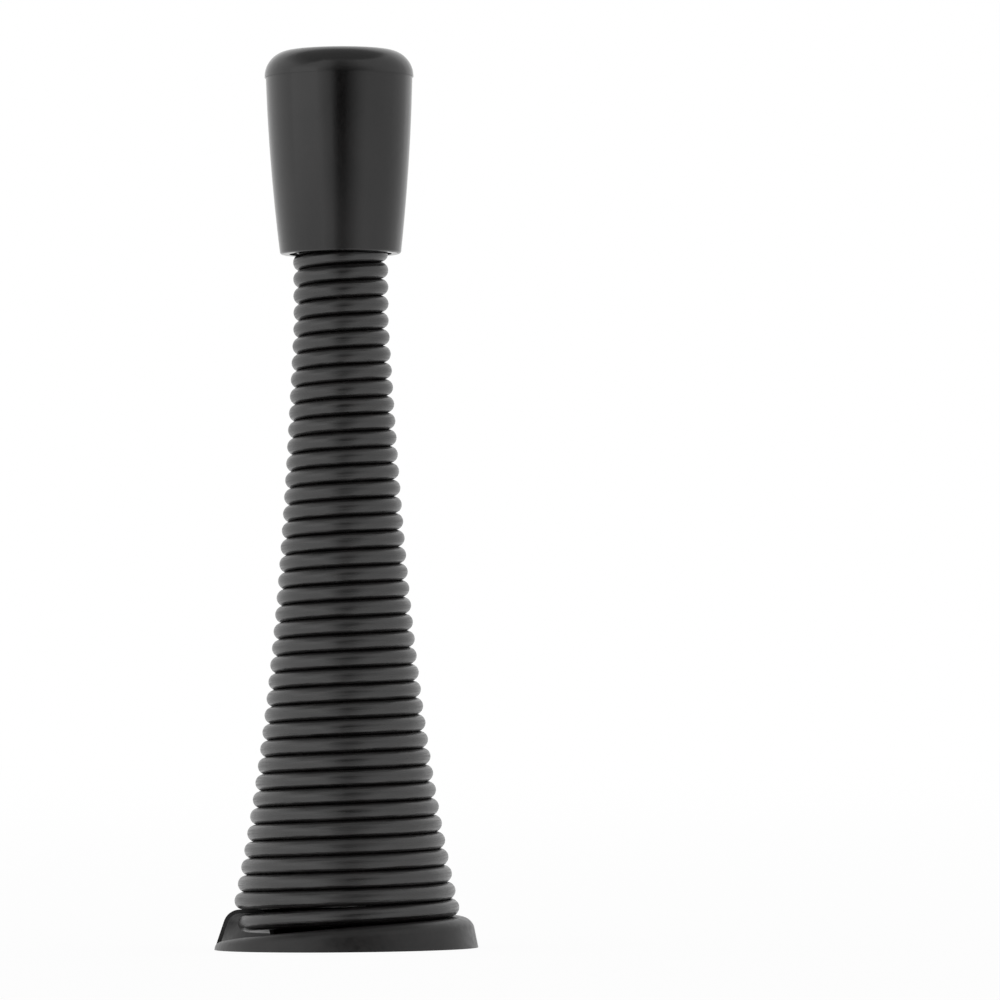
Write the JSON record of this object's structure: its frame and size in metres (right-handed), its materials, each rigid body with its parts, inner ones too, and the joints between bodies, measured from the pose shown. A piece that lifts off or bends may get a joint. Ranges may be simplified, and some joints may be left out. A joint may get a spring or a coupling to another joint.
{
  "type": "spring door stop",
  "caption": "Black wall door stop: a flaring close-wound spring screwed into a slit pressed base, with a domed moulded tip; the tip sways and springs back.",
  "frame": {"origin": "middle of the base on the wall plane", "axes": "+Z along the stop from the wall to the tip, -X towards the slit in the base's rim, -Y towards the low side of the ramp"},
  "size_m": [0.0234, 0.0234, 0.08],
  "materials": {
    "base": "satin black coated pressed steel",
    "wire": "semi-gloss black coated spring wire",
    "tip": "satin black moulded"
  },
  "bodies": {
    "base": {"base_plate": "base", "spring": "wire"},
    "tip": {"tip_cap": "tip"}
  },
  "joints": [
    {"name": "tip_sway", "type": "hinge", "parent": "base", "child": "tip", "pos_m": [0, 0, 0.023], "axis": [0, 1, 0], "range_deg": [-45, 45], "stiffness_Nm_per_rad": 0.03, "deforming": ["spring"]}
  ]
}
